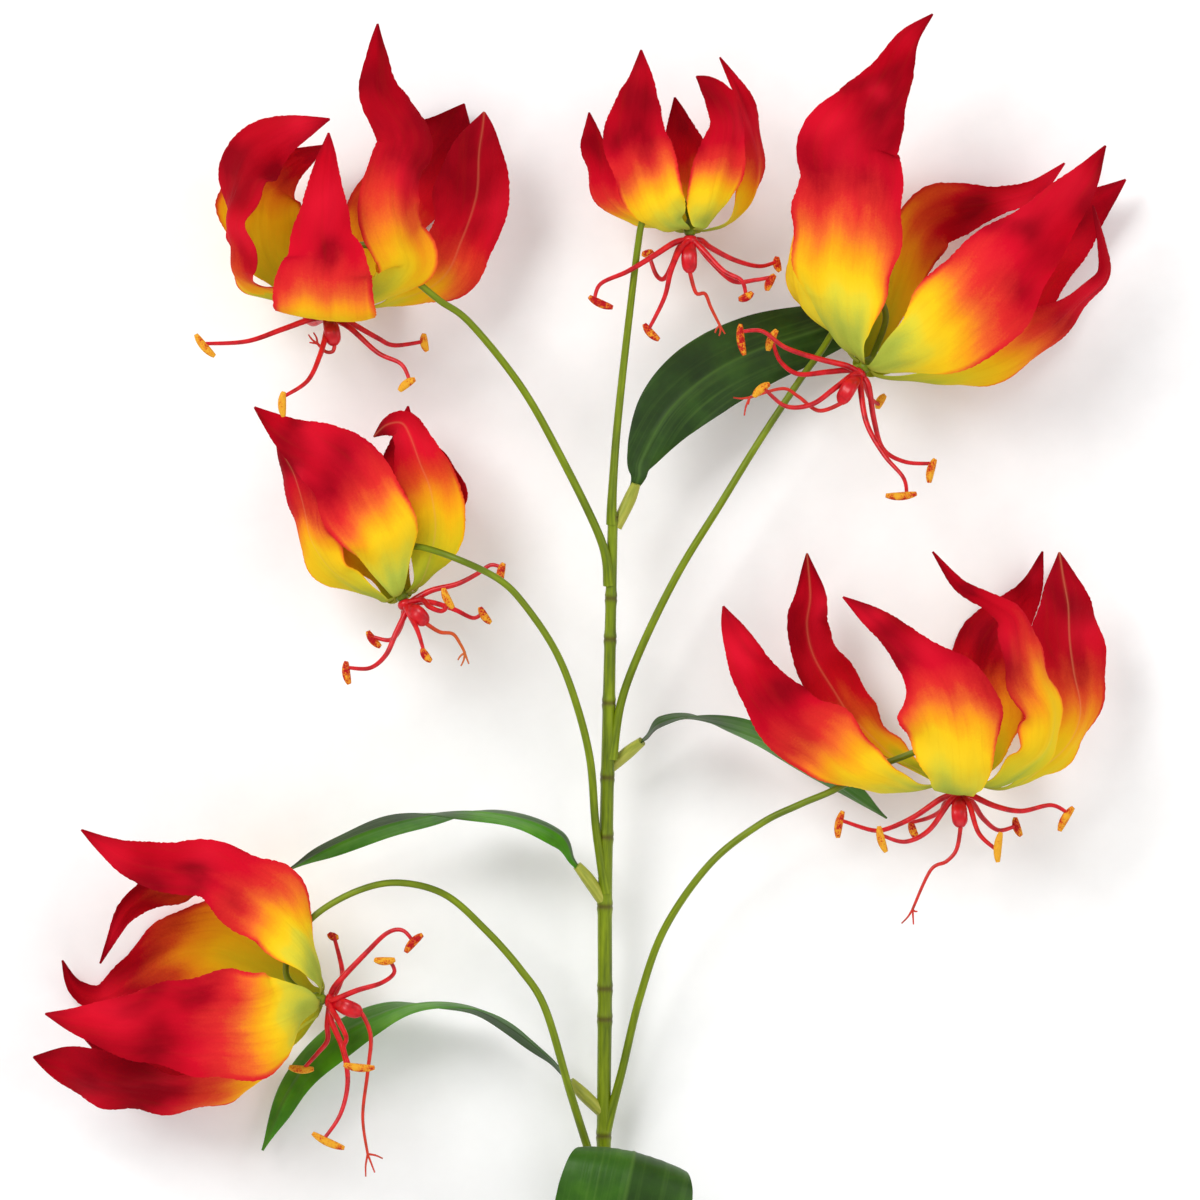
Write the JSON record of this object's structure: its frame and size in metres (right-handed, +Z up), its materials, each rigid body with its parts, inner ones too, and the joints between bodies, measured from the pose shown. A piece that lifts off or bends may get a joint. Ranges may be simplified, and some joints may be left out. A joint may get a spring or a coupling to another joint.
{
  "type": "glory lily spray",
  "caption": "Cut spray of glory lily with nodding flame-coloured blooms on a branched stem and long pointed leaves, lying on a surface",
  "frame": {"origin": "under the middle of the spray's bounding box, on the surface it lies on", "axes": "+Y from the cut end of the main stem towards its top, +X to the right seen from above, +Z up from the surface"},
  "size_m": [0.4393, 0.5619, 0.096],
  "materials": {
    "petal": "matte",
    "stamen": "satin",
    "stem": "satin",
    "sheath": "satin",
    "leaf": "satin"
  },
  "bodies": {
    "root": {"bloom_1_petal_back": "petal", "bloom_1_petal_front": "petal", "bloom_1_petal_left": "petal", "bloom_1_petal_left_back": "petal", "bloom_1_petal_right": "petal", "bloom_1_petal_right_front": "petal", "bloom_1_stamens_and_pistil": "stamen", "bloom_2_petal_back": "petal", "bloom_2_petal_front_left": "petal", "bloom_2_petal_left": "petal", "bloom_2_petal_left_back": "petal", "bloom_2_petal_right": "petal", "bloom_2_petal_right_front": "petal", "bloom_2_stamens_and_pistil": "stamen", "bloom_3_petal_front": "petal", "bloom_3_petal_lower_right": "petal", "bloom_3_petal_middle_back": "petal", "bloom_3_petal_right_back": "petal", "bloom_3_petal_upper": "petal", "bloom_3_petal_upper_back": "petal", "bloom_3_stamens_and_pistil": "stamen", "bloom_4_petal_back": "petal", "bloom_4_petal_front": "petal", "bloom_4_petal_left": "petal", "bloom_4_petal_left_back": "petal", "bloom_4_petal_right_back": "petal", "bloom_4_petal_right_front": "petal", "bloom_4_stamens_and_pistil": "stamen", "bloom_5_petal_back": "petal", "bloom_5_petal_front": "petal", "bloom_5_petal_left": "petal", "bloom_5_petal_left_back": "petal", "bloom_5_petal_right": "petal", "bloom_5_petal_right_front": "petal", "bloom_5_stamens_and_pistil": "stamen", "bloom_6_petal_back": "petal", "bloom_6_petal_bottom": "petal", "bloom_6_petal_bottom_back": "petal", "bloom_6_petal_front": "petal", "bloom_6_petal_top": "petal", "bloom_6_petal_top_back": "petal", "bloom_6_stamens_and_pistil": "stamen", "flower_stem_1": "stem", "flower_stem_2": "stem", "flower_stem_3": "stem", "flower_stem_4": "stem", "flower_stem_5": "stem", "flower_stem_6": "stem", "leaf_bottom": "leaf", "leaf_bottom_sheath": "sheath", "leaf_left": "leaf", "leaf_left_sheath": "sheath", "leaf_lower_left": "leaf", "leaf_lower_left_sheath": "sheath", "leaf_right": "leaf", "leaf_right_sheath": "sheath", "leaf_top": "leaf", "leaf_top_sheath": "sheath", "main_stem": "stem"}
  },
  "joints": []
}
